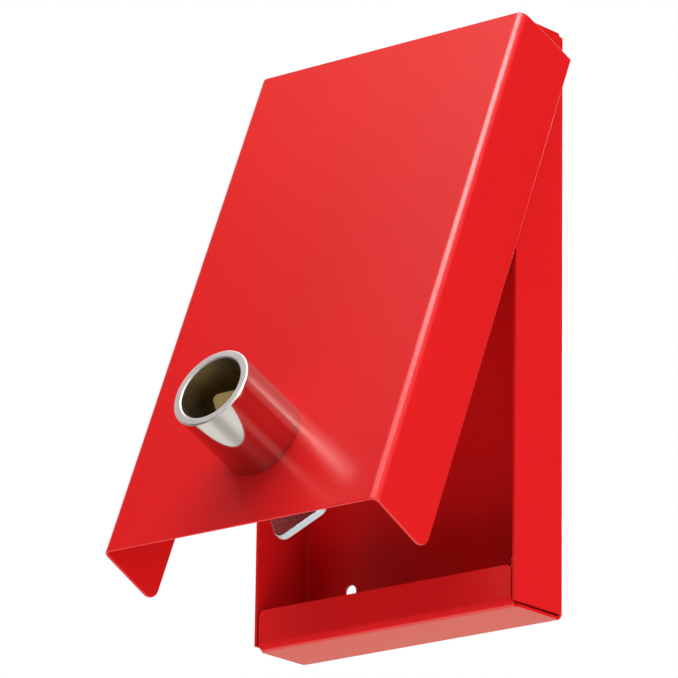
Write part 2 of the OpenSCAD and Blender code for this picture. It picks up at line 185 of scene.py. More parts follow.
def soften(piece, radius, segments, least_angle=32):
    """Round the sharp edges and keep the flat faces flat in shading."""
    mesh = piece.data
    mesh.shade_smooth()
    mesh.set_sharp_from_angle(angle=math.radians(least_angle))
    bevel = piece.modifiers.new("rounded_edges", "BEVEL")
    bevel.width = radius
    bevel.segments = segments
    bevel.limit_method = "ANGLE"
    bevel.angle_limit = math.radians(least_angle)
    bevel.harden_normals = True
    bevel.use_clamp_overlap = True


def soft_piece(node_name, piece_name, body, slot, material, radius, segments):
    """A CAD node's shape with rounded edges, in its place."""
    piece = link_object(piece_name, merged_copy(node_name), [material])
    soften(piece, radius, segments)
    declare(piece, body, slot, node_name)
    return piece


# Materials

def new_material(name):
    """A material with a Principled shader; returns the material, its tree, shader and coordinates."""
    material = bpy.data.materials.new(name)
    material.use_nodes = True
    tree = material.node_tree
    tree.nodes.clear()
    shader = add_node(tree, "ShaderNodeBsdfPrincipled")
    add_node(tree, "ShaderNodeOutputMaterial", {"Surface": shader.outputs["BSDF"]})
    coords = add_node(tree, "ShaderNodeTexCoord").outputs["Object"]
    return material, tree, shader, coords


def powder_coat():
    """Polyester powder coat, semi-gloss, sprayed and baked on steel sheet: one saturated red, a soft
    orange-peel waviness about a millimetre across, and a finer grain that breaks up reflections."""
    look = bpy.context.scene.key_box_sheet
    material, tree, shader, coords = new_material("semi_gloss_powder_coat")
    # Drift of the film's thickness over a hand's width
    drift = add_node(tree, "ShaderNodeTexNoise",
                     {"Vector": coords, "Scale": 1 / COAT_DRIFT, "Detail": 2.0, "Roughness": 0.5})
    peel = add_node(tree, "ShaderNodeTexNoise",
                    {"Vector": coords, "Scale": 1 / look.peel_size, "Detail": 1.0, "Roughness": 0.5})
    # Real grain is about 0.1 mm; it is drawn at 0.35 mm, or the picture would not show it
    grain = add_node(tree, "ShaderNodeTexNoise",
                     {"Vector": coords, "Scale": 1 / COAT_GRAIN, "Detail": 2.0, "Roughness": 0.7})
    colour = add_node(tree, "ShaderNodeMix",
                      {0: drift.outputs["Fac"], 6: look.colour, 7: look.thin_colour}, data_type="RGBA")
    fleck = add_node(tree, "ShaderNodeMapRange",
                     {"Value": grain.outputs["Fac"], "From Min": 0.30, "From Max": 0.70,
                      "To Min": 0.91, "To Max": 1.05})
    shaded = add_node(tree, "ShaderNodeVectorMath",
                      {0: colour.outputs[2], "Scale": fleck.outputs["Result"]}, operation="SCALE")
    rough = add_node(tree, "ShaderNodeMapRange",
                     {"Value": grain.outputs["Fac"], "From Min": 0.25, "From Max": 0.75,
                      "To Min": 0.18, "To Max": 0.24})
    low = add_node(tree, "ShaderNodeBump",
                   {"Height": peel.outputs["Fac"], "Strength": 0.55, "Distance": 0.03 * MM})
    fine = add_node(tree, "ShaderNodeBump",
                    {"Height": grain.outputs["Fac"], "Strength": 0.45, "Distance": 0.02 * MM,
                     "Normal": low.outputs["Normal"]})
    tree.links.new(shaded.outputs["Vector"], shader.inputs["Base Color"])
    tree.links.new(rough.outputs["Result"], shader.inputs["Roughness"])
    tree.links.new(fine.outputs["Normal"], shader.inputs["Normal"])
    shader.inputs["IOR"].default_value = 1.5
    return material


def metal(name, light, dark, rough_low, rough_high, blotch_mm, line_mm, line_depth_mm,
          place=None, lines="rings"):
    """A bare or plated metal: two close tones in blotches, and the lines that its making left."""
    material, tree, shader, coords = new_material(name)
    if place is not None:
        coords = add_node(tree, "ShaderNodeMapping",
                          {"Vector": coords, "Location": place.to_translation(),
                           "Rotation": place.to_euler()}, vector_type="TEXTURE").outputs["Vector"]
    blotch = add_node(tree, "ShaderNodeTexNoise",
                      {"Vector": coords, "Scale": 1 / (blotch_mm * MM), "Detail": 4.0, "Roughness": 0.6})
    specks = add_node(tree, "ShaderNodeTexNoise",
                      {"Vector": coords, "Scale": 1 / METAL_SPECKS, "Detail": 2.0, "Roughness": 0.6})
    tone = add_node(tree, "ShaderNodeMix",
                    {0: blotch.outputs["Fac"], 6: linear(light), 7: linear(dark)}, data_type="RGBA")
    rough = add_node(tree, "ShaderNodeMapRange",
                     {"Value": blotch.outputs["Fac"], "From Min": 0.3, "From Max": 0.7,
                      "To Min": rough_low, "To Max": rough_high})
    wave = add_node(tree, "ShaderNodeTexWave",
                    {"Vector": coords, "Scale": WAVE_LENGTH / (line_mm * MM),
                     "Distortion": 1.5, "Detail": 1.0},
                    wave_type="RINGS" if lines == "rings" else "BANDS")
    if lines == "rings":
        wave.rings_direction = "Y"
    else:
        wave.bands_direction = lines
    first = add_node(tree, "ShaderNodeBump",
                     {"Height": wave.outputs["Fac"], "Strength": 0.5, "Distance": line_depth_mm * MM})
    second = add_node(tree, "ShaderNodeBump",
                      {"Height": specks.outputs["Fac"], "Strength": 0.25, "Distance": 0.01 * MM,
                       "Normal": first.outputs["Normal"]})
    tree.links.new(tone.outputs[2], shader.inputs["Base Color"])
    tree.links.new(rough.outputs["Result"], shader.inputs["Roughness"])
    tree.links.new(second.outputs["Normal"], shader.inputs["Normal"])
    shader.inputs["Metallic"].default_value = 1.0
    return material


def rubber():
    """Moulded nitrile rubber: near black, dull, with a faint bloom on its skin."""
    material, tree, shader, coords = new_material("moulded_nitrile_rubber")
    bloom = add_node(tree, "ShaderNodeTexNoise",
                     {"Vector": coords, "Scale": 1 / RUBBER_BLOOM, "Detail": 3.0, "Roughness": 0.6})
    tone = add_node(tree, "ShaderNodeMix",
                    {0: bloom.outputs["Fac"], 6: linear("#17171A"), 7: linear("#26262A")},
                    data_type="RGBA")
    bump = add_node(tree, "ShaderNodeBump",
                    {"Height": bloom.outputs["Fac"], "Strength": 0.3, "Distance": 0.02 * MM})
    tree.links.new(tone.outputs[2], shader.inputs["Base Color"])
    tree.links.new(bump.outputs["Normal"], shader.inputs["Normal"])
    shader.inputs["Roughness"].default_value = 0.62
    shader.inputs["IOR"].default_value = 1.52
    return material


def finish(name):
    """Each finish is made once, on first use."""
    if name not in bpy.data.materials:
        FINISHES[name]()
    return bpy.data.materials[name]


FINISHES = {
    # Semi-gloss red polyester powder coat
    "semi_gloss_powder_coat": powder_coat,
    # Bright chrome plate on a turned tube: a near mirror with very faint turning lines
    "bright_chrome_plate": lambda: metal(
        "bright_chrome_plate", "#D6D2CA", "#CCC8C0", rough_low=0.04, rough_high=0.08,
        blotch_mm=9, line_mm=0.5, line_depth_mm=0.002, place=lock_matrix()),
    # The tube's mouth, faced off and plated: satin, so it gathers light from a wide angle; its colour,
    # lighter than the outer plate, is a painted highlight
    "faced_chrome_mouth": lambda: metal(
        "faced_chrome_mouth", "#F2EDEB", "#E6E0DE", rough_low=0.46, rough_high=0.56,
        blotch_mm=3, line_mm=0.4, line_depth_mm=0.004, place=lock_matrix()),
    # The tube's bore: dull, and darker and browner than the outer plate, which is painted shade inside the
    # tube; with faint turning lines
    "thinly_plated_bore": lambda: metal(
        "thinly_plated_bore", "#C6B690", "#8A8068", rough_low=0.32, rough_high=0.50,
        blotch_mm=4, line_mm=0.6, line_depth_mm=0.02, place=lock_matrix()),
    # Free-cutting brass, turned and left bare: warm yellow, clear turning rings on its end faces
    "turned_brass": lambda: metal(
        "turned_brass", "#E2AC40", "#C08E30", rough_low=0.24, rough_high=0.36,
        blotch_mm=4, line_mm=0.45, line_depth_mm=0.012, place=lock_matrix()),
    # Bright zinc plate on stamped steel: cool grey with cloudy passivation
    "bright_zinc_plate": lambda: metal(
        "bright_zinc_plate", "#E2E5E9", "#C8CCD1", rough_low=0.22, rough_high=0.36,
        blotch_mm=5, line_mm=0.6, line_depth_mm=0.004, place=lock_matrix(), lines="X"),
    # Rolled strip, zinc plated after it was curled: fine lines along the strip
    "rolled_steel_strip": lambda: metal(
        "rolled_steel_strip", "#C2C4C8", "#A2A5AA", rough_low=0.26, rough_high=0.40,
        blotch_mm=6, line_mm=0.5, line_depth_mm=0.006, place=None, lines="Z"),
    # Drawn wire: fine lines along its length
    "drawn_steel_wire": lambda: metal(
        "drawn_steel_wire", "#B4B6BA", "#96999E", rough_low=0.22, rough_high=0.32,
        blotch_mm=3, line_mm=0.3, line_depth_mm=0.004, place=None, lines="Y"),
    # Phosphated spring steel: dark grey and dull
    "phosphated_spring_steel": lambda: metal(
        "phosphated_spring_steel", "#7E8084", "#606266", rough_low=0.38, rough_high=0.5,
        blotch_mm=3, line_mm=0.4, line_depth_mm=0.004, place=lock_matrix()),
    # Soft aluminium rivet, upset with a snap: bright and slightly dented
    "upset_aluminium": lambda: metal(
        "upset_aluminium", "#D8D9DB", "#BFC1C4", rough_low=0.24, rough_high=0.36,
        blotch_mm=2, line_mm=0.5, line_depth_mm=0.004, place=None, lines="X"),
    "moulded_nitrile_rubber": rubber,
}


def seen_directly(tree):
    """A node that is 1 for camera rays, reflections and rays that pass through, and 0 for light."""
    rays = add_node(tree, "ShaderNodeLightPath").outputs
    some = add_node(tree, "ShaderNodeMath",
                    {0: rays["Is Camera Ray"], 1: rays["Is Glossy Ray"]}, operation="MAXIMUM")
    return add_node(tree, "ShaderNodeMath",
                    {0: some.outputs["Value"], 1: rays["Is Transmission Ray"]}, operation="MAXIMUM")


# Geometry node trees

def new_tree(name, inputs):
    """A geometry tree with named inputs: {name: (socket type, default)}."""
    tree = bpy.data.node_groups.new(name, "GeometryNodeTree")
    face = tree.interface
    face.new_socket("Geometry", in_out="INPUT", socket_type="NodeSocketGeometry")
    for key, (kind, default) in inputs.items():
        socket = face.new_socket(key, in_out="INPUT", socket_type=kind)
        if default is not None:
            socket.default_value = default
    face.new_socket("Geometry", in_out="OUTPUT", socket_type="NodeSocketGeometry")
    return tree, tree.nodes.new("NodeGroupInput").outputs


def close_tree(tree, geometry, material):
    """Realise the instances, set the material and end the tree."""
    real = add_node(tree, "GeometryNodeRealizeInstances", {"Geometry": geometry})
    painted = add_node(tree, "GeometryNodeSetMaterial",
                       {"Geometry": real.outputs["Geometry"], "Material": material})
    add_node(tree, "NodeGroupOutput", {"Geometry": painted.outputs["Geometry"]})
    return tree


def grown(name, seed_mesh, tree, values, place=None):
    """Run a geometry tree on a mesh and keep the result as a plain mesh object."""
    source = link_object(name + "_seed", seed_mesh)
    modifier = source.modifiers.new("nodes", "NODES")
    modifier.node_group = tree
    for item in tree.interface.items_tree:
        if item.item_type == "SOCKET" and item.in_out == "INPUT" and item.name in values:
            modifier[item.identifier] = values[item.name]
    depsgraph = bpy.context.evaluated_depsgraph_get()
    mesh = bpy.data.meshes.new_from_object(source.evaluated_get(depsgraph), depsgraph=depsgraph)
    source.modifiers.clear()
    bpy.data.objects.remove(source)
    if place is not None:
        mesh.transform(place)
    mesh.name = name
    return link_object(name, mesh)


def lathe_tree():
    """Turns a closed profile, given as (radius, depth), round the Y axis."""
    if "lathe" in bpy.data.node_groups:
        return bpy.data.node_groups["lathe"]
    tree, given = new_tree("lathe", {
        "Segments": ("NodeSocketInt", 96),
        "Material": ("NodeSocketMaterial", None),
    })
    profile = add_node(tree, "GeometryNodeMeshToCurve", {"Mesh": given["Geometry"]})
    path = add_node(tree, "GeometryNodeCurvePrimitiveCircle",
                    {"Resolution": given["Segments"], "Radius": PATH_RADIUS})
    swept = add_node(tree, "GeometryNodeCurveToMesh",
                     {"Curve": path.outputs["Curve"], "Profile Curve": profile.outputs["Curve"]})
    merged = add_node(tree, "GeometryNodeMergeByDistance",
                      {"Geometry": swept.outputs["Mesh"], "Distance": 0.003 * MM})
    upright = add_node(tree, "GeometryNodeTransform",
                       {"Geometry": merged.outputs["Geometry"], "Rotation": (math.radians(90), 0, 0)})
    return close_tree(tree, upright.outputs["Geometry"], given["Material"])


def tooth_tree():
    """A flat ring with twisted teeth round its rim; the axis is Y and the ring starts at depth 0."""
    if "toothed_ring" in bpy.data.node_groups:
        return bpy.data.node_groups["toothed_ring"]
    tree, given = new_tree("toothed_ring", {
        "Teeth": ("NodeSocketInt", 20),
        "Root Radius": ("NodeSocketFloat", 0.0119),
        "Tooth Length": ("NodeSocketFloat", 0.0016),
        "Tooth Width": ("NodeSocketFloat", 0.0022),
        "Thickness": ("NodeSocketFloat", 0.0008),
        "Twist": ("NodeSocketFloat", 0.2),
        "Segments": ("NodeSocketInt", 96),
        "Material": ("NodeSocketMaterial", None),
    })
    profile = add_node(tree, "GeometryNodeMeshToCurve", {"Mesh": given["Geometry"]})
    path = add_node(tree, "GeometryNodeCurvePrimitiveCircle",
                    {"Resolution": given["Segments"], "Radius": PATH_RADIUS})
    ring = add_node(tree, "GeometryNodeCurveToMesh",
                    {"Curve": path.outputs["Curve"], "Profile Curve": profile.outputs["Curve"]})
    # One tooth is a flat bar, twisted out of the ring's plane
    size = add_node(tree, "ShaderNodeCombineXYZ",
                    {"X": given["Tooth Length"], "Y": given["Tooth Width"], "Z": given["Thickness"]})
    block = add_node(tree, "GeometryNodeMeshCube",
                     {"Size": size.outputs["Vector"], "Vertices X": 4, "Vertices Y": 3, "Vertices Z": 2})
    twist = add_node(tree, "ShaderNodeCombineXYZ", {"X": given["Twist"]})
    lean = add_node(tree, "GeometryNodeTransform",
                    {"Geometry": block.outputs["Mesh"], "Rotation": twist.outputs["Vector"]})
    spots = add_node(tree, "GeometryNodeMeshCircle",
                     {"Vertices": given["Teeth"], "Radius": given["Root Radius"]})
    outward = add_node(tree, "FunctionNodeAlignEulerToVector",
                       {"Vector": add_node(tree, "GeometryNodeInputPosition").outputs["Position"]},
                       axis="X", pivot_axis="Z")
    teeth = add_node(tree, "GeometryNodeInstanceOnPoints",
                     {"Points": spots.outputs["Mesh"], "Instance": lean.outputs["Geometry"],
                      "Rotation": outward.outputs["Rotation"]})
    half = add_node(tree, "ShaderNodeMath", {0: given["Thickness"], 1: -0.5}, operation="MULTIPLY")
    sunk = add_node(tree, "ShaderNodeCombineXYZ", {"Z": half.outputs["Value"]})
    set_back = add_node(tree, "GeometryNodeTransform",
                        {"Geometry": teeth.outputs["Instances"], "Translation": sunk.outputs["Vector"]})
    both = add_node(tree, "GeometryNodeJoinGeometry")
    for part in (ring.outputs["Mesh"], set_back.outputs["Geometry"]):
        tree.links.new(part, both.inputs["Geometry"])
    upright = add_node(tree, "GeometryNodeTransform",
                       {"Geometry": both.outputs["Geometry"], "Rotation": (math.radians(90), 0, 0)})
    return close_tree(tree, upright.outputs["Geometry"], given["Material"])


def row_tree():
    """Copies the given solid along X and Z at equal steps."""
    if "rows_of_copies" in bpy.data.node_groups:
        return bpy.data.node_groups["rows_of_copies"]
    tree, given = new_tree("rows_of_copies", {
        "Count X": ("NodeSocketInt", 1),
        "Count Z": ("NodeSocketInt", 2),
        "Step X": ("NodeSocketFloat", 0.0),
        "Step Z": ("NodeSocketFloat", 0.0096),
        "Material": ("NodeSocketMaterial", None),
    })
    along = add_node(tree, "ShaderNodeCombineXYZ", {"X": given["Step X"]})
    upward = add_node(tree, "ShaderNodeCombineXYZ", {"Z": given["Step Z"]})
    row = add_node(tree, "GeometryNodeMeshLine",
                   {"Count": given["Count X"], "Offset": along.outputs["Vector"]})
    column = add_node(tree, "GeometryNodeMeshLine",
                      {"Count": given["Count Z"], "Offset": upward.outputs["Vector"]})
    in_row = add_node(tree, "GeometryNodeInstanceOnPoints",
                      {"Points": row.outputs["Mesh"], "Instance": given["Geometry"]})
    grid = add_node(tree, "GeometryNodeInstanceOnPoints",
                    {"Points": column.outputs["Mesh"], "Instance": in_row.outputs["Instances"]})
    return close_tree(tree, grid.outputs["Instances"], given["Material"])


def profile_mesh(name, points):
    """A closed outline in (radius, depth)."""
    mesh = bpy.data.meshes.new(name)
    count = len(points)
    mesh.from_pydata([(x, y, 0) for x, y in points], [(i, (i + 1) % count) for i in range(count)], [])
    return mesh


def outward_normals(piece):
    """Merge the doubles and point every face outwards."""
    bm = bmesh.new()
    bm.from_mesh(piece.data)
    bmesh.ops.remove_doubles(bm, verts=bm.verts, dist=SAME_POINT)
    bmesh.ops.recalc_face_normals(bm, faces=bm.faces)
    bm.to_mesh(piece.data)
    bm.free()


def repaint(piece, place, material, belongs):
    """Give the faces that pass a test on the radius and depth of their middle another material."""
    piece.data.materials.append(material)
    to_axis = place.inverted()
    for face in piece.data.polygons:
        middle = to_axis @ face.center
        if belongs(math.hypot(middle.x, middle.z), middle.y):
            face.material_index = len(piece.data.materials) - 1


def turned_piece(name, points, segments, material, place):
    """A turned piece from its outline in (radius, depth)."""
    piece = grown(name, profile_mesh(name + "_outline", points), lathe_tree(),
                  {"Segments": segments, "Material": finish(material)}, place)
    outward_normals(piece)
    return piece


# Settings

class KEYBOX_sheet(bpy.types.PropertyGroup):
    """Folded sheet and its coat"""
    colour: bpy.props.FloatVectorProperty(
        name="Coat colour", description="Colour of the powder coat", subtype="COLOR", size=4,
        min=0, max=1, default=linear("#E81D1F"))
    thin_colour: bpy.props.FloatVectorProperty(
        name="Thin coat colour", description="Colour where the coat is a little thinner",
        subtype="COLOR", size=4, min=0, max=1, default=linear("#DE1A1C"))
    peel_size: bpy.props.FloatProperty(
        name="Orange peel", description="Width of one wave of the coat's surface",
        subtype="DISTANCE", unit="LENGTH", min=0.0003, default=1.3 * MM)
    edge_radius: bpy.props.FloatProperty(
        name="Edge radius", description="Rounding of the coated sheet's edges",
        subtype="DISTANCE", unit="LENGTH", min=0.0001, max=0.00045, default=0.35 * MM)
    edge_segments: bpy.props.IntProperty(
        name="Edge segments", description="Facets across a rounded edge", min=1, default=3)


class KEYBOX_hardware(bpy.types.PropertyGroup):
    """Hinges, hook and fasteners"""
    edge_radius: bpy.props.FloatProperty(
        name="Edge radius", description="Rounding of stamped and milled edges",
        subtype="DISTANCE", unit="LENGTH", min=0.00005, default=0.12 * MM)
    rivet_head: bpy.props.FloatProperty(
        name="Rivet head", description="Diameter of a hook rivet's round head",
        subtype="DISTANCE", unit="LENGTH", min=0.003, default=6.4 * MM)
    teeth: bpy.props.IntProperty(
        name="Washer teeth", description="Number of teeth on the toothed washer", min=8, default=20)


class KEYBOX_guard_tube(bpy.types.PropertyGroup):
    """Guard tube"""
    outside: bpy.props.FloatProperty(
        name="Outside diameter", description="Outside diameter of the guard tube",
        subtype="DISTANCE", unit="LENGTH", min=0.029, default=30 * MM)
    inside: bpy.props.FloatProperty(
        name="Inside diameter", description="Inside diameter of the guard tube",
        subtype="DISTANCE", unit="LENGTH", min=0.0236, default=24 * MM)
    length: bpy.props.FloatProperty(
        name="Length", description="Length in front of the lid",
        subtype="DISTANCE", unit="LENGTH", min=0.02, default=29.5 * MM)
    floor: bpy.props.FloatProperty(
        name="Floor", description="Thickness of the tube's floor",
        subtype="DISTANCE", unit="LENGTH", min=0.001, default=2.5 * MM)
    mouth_bevel: bpy.props.FloatProperty(
        name="Mouth bevel", description="Bevel on both edges of the mouth",
        subtype="DISTANCE", unit="LENGTH", min=0.0001, default=0.4 * MM)


class KEYBOX_stage(bpy.types.PropertyGroup):
    """Camera, floor and lamps"""
    azimuth: bpy.props.FloatProperty(
        name="Azimuth", description="Camera's turn to the right of the front",
        subtype="ANGLE", default=math.radians(39.5035))
    elevation: bpy.props.FloatProperty(
        name="Elevation", description="Camera's height as an angle; negative looks up",
        subtype="ANGLE", default=math.radians(-16.8705))
    roll: bpy.props.FloatProperty(
        name="Roll", description="Camera's roll", subtype="ANGLE", default=math.radians(0.7998))
    distance: bpy.props.FloatProperty(
        name="Distance", description="Camera's distance from its target",
        subtype="DISTANCE", unit="LENGTH", default=1872.1 * MM)
    lens: bpy.props.FloatProperty(
        name="Lens", description="Focal length in millimetres on a 36 mm wide frame", default=290.29)
    floor_depth: bpy.props.FloatProperty(
        name="Floor depth", description="Floor's distance below the middle of the box",
        subtype="DISTANCE", unit="LENGTH", default=2.5)
    strip_power: bpy.props.FloatProperty(
        name="Overhead strip", description="Power of the strip lamp above the front edge",
        subtype="POWER", unit="POWER", default=11.0)
    front_power: bpy.props.FloatProperty(
        name="Front softbox", description="Power of the softbox at the upper left",
        subtype="POWER", unit="POWER", default=5.6)
    side_power: bpy.props.FloatProperty(
        name="Side softbox", description="Power of the softbox at the right",
        subtype="POWER", unit="POWER", default=19.8)
    low_power: bpy.props.FloatProperty(
        name="Low softbox", description="Power of the softbox below the front",
        subtype="POWER", unit="POWER", default=20.0)
    back_power: bpy.props.FloatProperty(
        name="Back softbox", description="Power of the softbox behind the box",
        subtype="POWER", unit="POWER", default=19.0)
    ambient: bpy.props.FloatProperty(
        name="Ambient", description="Strength of the room's soft light", min=0, default=0.30)


# Operators

class OBJECT_OT_key_box_box(bpy.types.Operator):
    """Dress the folded box: coated sheet with rounded edges"""
    bl_idname = "object.key_box_box"
    bl_label = "Box"

    def execute(self, context):
        look = context.scene.key_box_sheet
        soft_piece("box_shell", "box_folded_sheet", "box", "red_powder_coat",
                   finish("semi_gloss_powder_coat"), look.edge_radius, look.edge_segments)
        return {"FINISHED"}


class OBJECT_OT_key_box_lid(bpy.types.Operator):
    """Dress the folded lid: coated sheet with rounded edges"""
    bl_idname = "object.key_box_lid"
    bl_label = "Lid"

    def execute(self, context):
        look = context.scene.key_box_sheet
        soft_piece("lid_shell", "lid_folded_sheet", "lid", "red_powder_coat",
                   finish("semi_gloss_powder_coat"), look.edge_radius, look.edge_segments)
        return {"FINISHED"}


class OBJECT_OT_key_box_hinges(bpy.types.Operator):
    """Dress the two butt hinges and their pins"""
    bl_idname = "object.key_box_hinges"
    bl_label = "Hinges"

    def execute(self, context):
        edge = context.scene.key_box_hardware.edge_radius
        for side in ("left", "right"):
            soft_piece("hinge_box_leaf_" + side, "box_leaf_rolled_" + side, "box", "hinge_steel",
                       finish("rolled_steel_strip"), edge, 2)
            soft_piece("hinge_lid_leaf_" + side, "lid_leaf_rolled_" + side, "lid", "hinge_steel",
                       finish("rolled_steel_strip"), edge, 2)
            soft_piece("hinge_pin_" + side, "pin_headed_" + side, "box", "pin_steel",
                       finish("drawn_steel_wire"), edge, 2)
        return {"FINISHED"}


class OBJECT_OT_key_box_hook(bpy.types.Operator):
    """Dress the key hook and make its two rivets"""
    bl_idname = "object.key_box_hook"
    bl_label = "Key hook"

    def execute(self, context):
        hardware = context.scene.key_box_hardware
        soft_piece("key_hook", "key_hook_bent_strip", "box", "zinc_plate",
                   finish("bright_zinc_plate"), HOOK_EDGE, 3)
        low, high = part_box("hook_rivets")
        radius = hardware.rivet_head / 2
        pitch = high[2] - low[2] - 2 * radius
        shank = radius / 2
        # The head sits on the hook's plate and rises by two fifths of its radius; the shank ends
        # at the wall face
        seat = -(SHEET + HOOK_STRIP)
        rise = 0.4 * radius
        dome_r = (radius ** 2 + rise ** 2) / (2 * rise)
        half_angle = math.asin(radius / dome_r)
        steps = 10
        dome = [(dome_r * math.sin(half_angle * i / steps),
                 seat - rise + dome_r - dome_r * math.cos(half_angle * i / steps))
                for i in range(steps + 1)]
        outline = dome + [(shank, seat), (shank, 0), (0, 0)]
        one = turned_piece("rivet_turned", outline, RIVET_FACETS, "upset_aluminium", None)
        rivets = grown("hook_rivets_domed", one.data.copy(), row_tree(),
                       {"Count Z": 2, "Step Z": pitch, "Material": finish("upset_aluminium")},
                       Matrix.Translation((0, 0, low[2] + radius)))
        bpy.data.objects.remove(one)
        outward_normals(rivets)
        soften(rivets, RIVET_EDGE, 2)
        declare(rivets, "box", "rivet_aluminium", "hook_rivets")
        return {"FINISHED"}


class OBJECT_OT_key_box_tube(bpy.types.Operator):
    """Turn the chromed guard tube on the lock's axis"""
    bl_idname = "object.key_box_tube"
    bl_label = "Guard tube"

    def execute(self, context):
        tube = context.scene.key_box_tube
        outer, inner = tube.outside / 2, tube.inside / 2
        mouth, floor, bevel = -tube.length, -tube.floor, tube.mouth_bevel
        # The hole in the floor clears the barrel by a tenth of a millimetre
        bore = BARREL_RADIUS + 0.1 * MM
        outline = [(bore, floor), (inner, floor), (inner, mouth + bevel), (inner + bevel, mouth),
                   (outer - bevel, mouth), (outer, mouth + bevel), (outer, 0), (bore, 0)]
        piece = turned_piece("guard_tube_turned", outline, TUBE_FACETS, "bright_chrome_plate", lock_matrix())
        near = 0.1 * MM
        # The mouth's faces take the lighter copy of the chrome: painted highlight
        repaint(piece, lock_matrix(), finish("faced_chrome_mouth"),
                lambda radius, depth: depth < mouth + bevel)
        # The bore's faces take the darker, browner copy of the chrome: painted shade
        repaint(piece, lock_matrix(), finish("thinly_plated_bore"),
                lambda radius, depth: radius < inner + near and depth > mouth + bevel)
        soften(piece, TUBE_EDGE, 2)
        declare(piece, "lid", "chrome_plate", "guard_tube")
        return {"FINISHED"}


class OBJECT_OT_key_box_lock(bpy.types.Operator):
    """Dress the lock's barrel, its nut and the toothed washer"""
    bl_idname = "object.key_box_lock"
    bl_label = "Lock barrel"

    def execute(self, context):
        hardware = context.scene.key_box_hardware
        soft_piece("lock_body", "lock_barrel", "lid", "turned_brass",
                   finish("turned_brass"), THREAD_EDGE, 2)
        soft_piece("lock_nut", "lock_nut_hexagon", "lid", "zinc_plate",
                   finish("bright_zinc_plate"), NUT_EDGE, 2)
        thick = 0.8 * MM
        bore = BARREL_RADIUS + 0.3 * MM
        root = 12.2 * MM
        rim = 13.5 * MM
        # How far a tooth's foot reaches into the ring
        foot = 0.4 * MM
        tooth_width = 2.0 * MM
        # A tooth is a little thinner than the ring; twisted, it stands out on both sides and bites
        # about 0.15 mm into the lid
        tooth_share = 0.9
        twist = math.radians(9)
        ring = [(bore, 0), (root, 0), (root, thick), (bore, thick)]
        piece = grown("tooth_washer_twisted", profile_mesh("washer_outline", ring), tooth_tree(),
                      {"Teeth": hardware.teeth, "Root Radius": (root + rim) / 2 - foot / 2,
                       "Tooth Length": rim - root + foot, "Tooth Width": tooth_width,
                       "Thickness": thick * tooth_share, "Twist": twist, "Segments": WASHER_FACETS,
                       "Material": finish("phosphated_spring_steel")},
                      lock_matrix() @ Matrix.Translation((0, SHEET, 0)))
        outward_normals(piece)
        declare(piece, "lid", "spring_steel", "tooth_washer")
        return {"FINISHED"}


class OBJECT_OT_key_box_spindle(bpy.types.Operator):
    """Dress the spindle, its ring, the stop disc, the cam and the cam's screw and washers"""
    bl_idname = "object.key_box_spindle"
    bl_label = "Spindle and cam"

    def execute(self, context):
        edge = context.scene.key_box_hardware.edge_radius
        rows = [
            ("spindle", "drive_spindle", "turned_brass", "turned_brass", HEAD_EDGE),
            ("stop_disc", "stop_disc_notched", "zinc_plate", "bright_zinc_plate", edge),
            ("cam", "cam_stamped", "zinc_plate", "bright_zinc_plate", CAM_EDGE),
            ("cam_washer", "cam_washer_flat", "zinc_plate", "bright_zinc_plate", edge),
            ("spring_washer", "spring_washer_split", "spring_steel", "phosphated_spring_steel", edge),
            ("cam_screw", "cam_screw_hexagon", "zinc_plate", "bright_zinc_plate", edge),
        ]
        for node, name, slot, look, radius in rows:
            soft_piece(node, name, "spindle", slot, finish(look), radius, 3)
        ring = frame["nodes"]["o_ring"]
        ring.data.materials.clear()
        ring.data.materials.append(finish("moulded_nitrile_rubber"))
        return {"FINISHED"}


